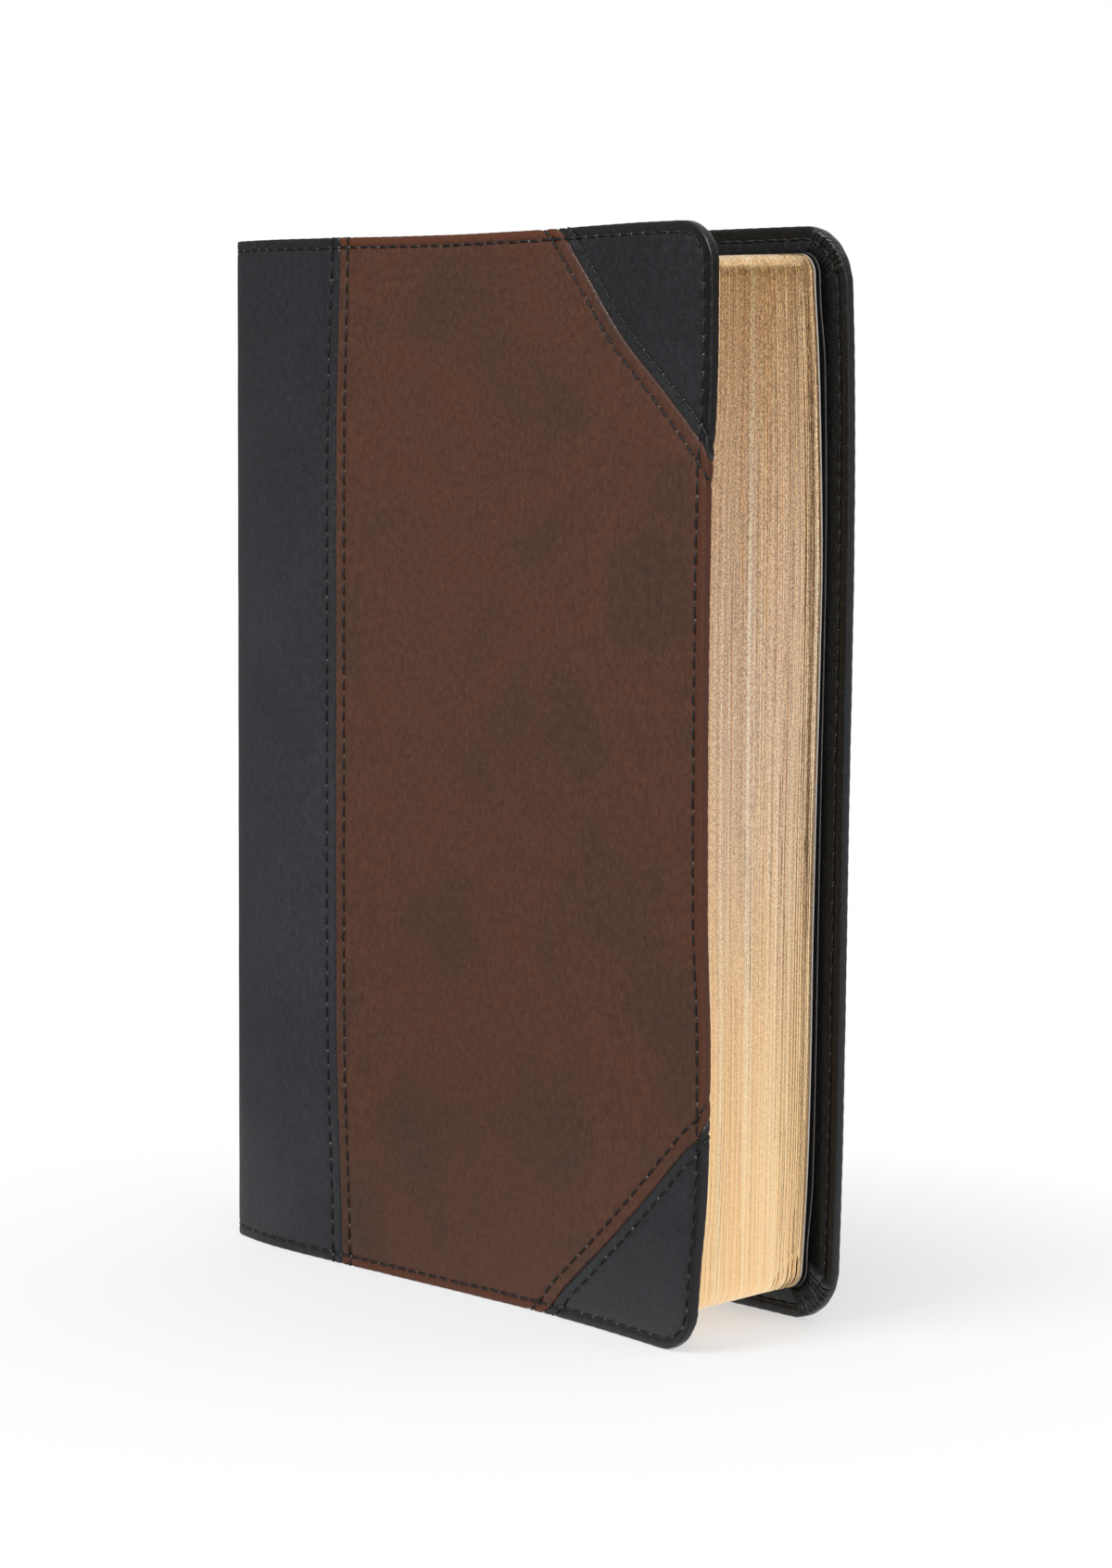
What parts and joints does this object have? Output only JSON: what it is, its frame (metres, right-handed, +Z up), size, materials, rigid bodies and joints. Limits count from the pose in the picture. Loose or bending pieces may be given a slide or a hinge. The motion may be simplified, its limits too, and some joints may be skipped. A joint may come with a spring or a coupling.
{
  "type": "bible",
  "caption": "Limp two-tone leather-look bible with gilt page edges, standing upright; covers swing open and the sewn pages fan apart at the spine.",
  "frame": {"origin": "middle of the footprint on the surface that the tail edges stand on, with both covers at their resting angles", "axes": "+Z up, from the tail edge to the head edge; +X from the spine to the fore-edge; the front cover faces -Y and the back cover +Y"},
  "size_m": [0.157, 0.0434, 0.224],
  "materials": {
    "black_leather": "fine-grained matt imitation leather",
    "brown_leather": "mottled imitation leather with a soft sheen",
    "stitching_thread": "twisted polyester thread",
    "cover_board": "thin flexible board",
    "black_lining": "matt coated lining paper",
    "gilt_pages": "thin bible paper with gilt edges",
    "white_paper": "plain uncoated end leaf",
    "black_paper": "stiff coated flyleaf",
    "spine_cloth": "open starched cotton cloth and paper",
    "sewing_linen": "linen tape and sewing thread",
    "headband_cloth": "woven two-colour headband"
  },
  "bodies": {
    "rear_pages": {"signature_13": "gilt_pages", "signature_14": "gilt_pages", "signature_15": "gilt_pages", "signature_16": "gilt_pages", "spine_leather_4": "black_leather", "spine_lining_4": "spine_cloth", "sewing_tapes_4": "sewing_linen", "headbands_4": "headband_cloth", "back_endleaf": "white_paper", "back_flyleaf": "black_paper"},
    "third_pages": {"signature_09": "gilt_pages", "signature_10": "gilt_pages", "signature_11": "gilt_pages", "signature_12": "gilt_pages", "spine_leather_3": "black_leather", "spine_lining_3": "spine_cloth", "sewing_tapes_3": "sewing_linen", "headbands_3": "headband_cloth"},
    "second_pages": {"signature_05": "gilt_pages", "signature_06": "gilt_pages", "signature_07": "gilt_pages", "signature_08": "gilt_pages", "spine_leather_2": "black_leather", "spine_lining_2": "spine_cloth", "sewing_tapes_2": "sewing_linen", "headbands_2": "headband_cloth"},
    "first_pages": {"signature_01": "gilt_pages", "signature_02": "gilt_pages", "signature_03": "gilt_pages", "signature_04": "gilt_pages", "spine_leather_1": "black_leather", "spine_lining_1": "spine_cloth", "sewing_tapes_1": "sewing_linen", "headbands_1": "headband_cloth", "front_endleaf": "white_paper", "front_flyleaf": "black_paper"},
    "front_cover": {"front_panel": "brown_leather", "front_corner_head": "black_leather", "front_corner_tail": "black_leather", "front_spine_wing": "black_leather", "front_board": "cover_board", "front_lining": "black_lining", "front_edge_thread": "stitching_thread", "front_seam_thread": "stitching_thread", "front_corner_thread": "stitching_thread"},
    "back_cover": {"back_leather": "black_leather", "back_board": "cover_board", "back_lining": "black_lining", "back_edge_thread": "stitching_thread"}
  },
  "joints": [
    {"name": "front_cover_hinge", "type": "hinge", "parent": "first_pages", "child": "front_cover", "pos_m": [-0.06947, -0.01808, 0.112], "axis": [0, 0, 1], "range_deg": [-175, 1.2]},
    {"name": "opening_first_quarter", "type": "hinge", "parent": "second_pages", "child": "first_pages", "pos_m": [-0.07806, -0.00668, 0.112], "axis": [0, 0, 1], "range_deg": [-45, 0]},
    {"name": "opening_middle", "type": "hinge", "parent": "third_pages", "child": "second_pages", "pos_m": [-0.07853, 0.00142, 0.112], "axis": [0, 0, 1], "range_deg": [-90, 0]},
    {"name": "opening_last_quarter", "type": "hinge", "parent": "rear_pages", "child": "third_pages", "pos_m": [-0.07806, 0.00952, 0.112], "axis": [0, 0, 1], "range_deg": [-45, 0]},
    {"name": "back_cover_hinge", "type": "hinge", "parent": "rear_pages", "child": "back_cover", "pos_m": [-0.06947, 0.02092, 0.112], "axis": [0, 0, 1], "range_deg": [-0.2, 175]}
  ]
}
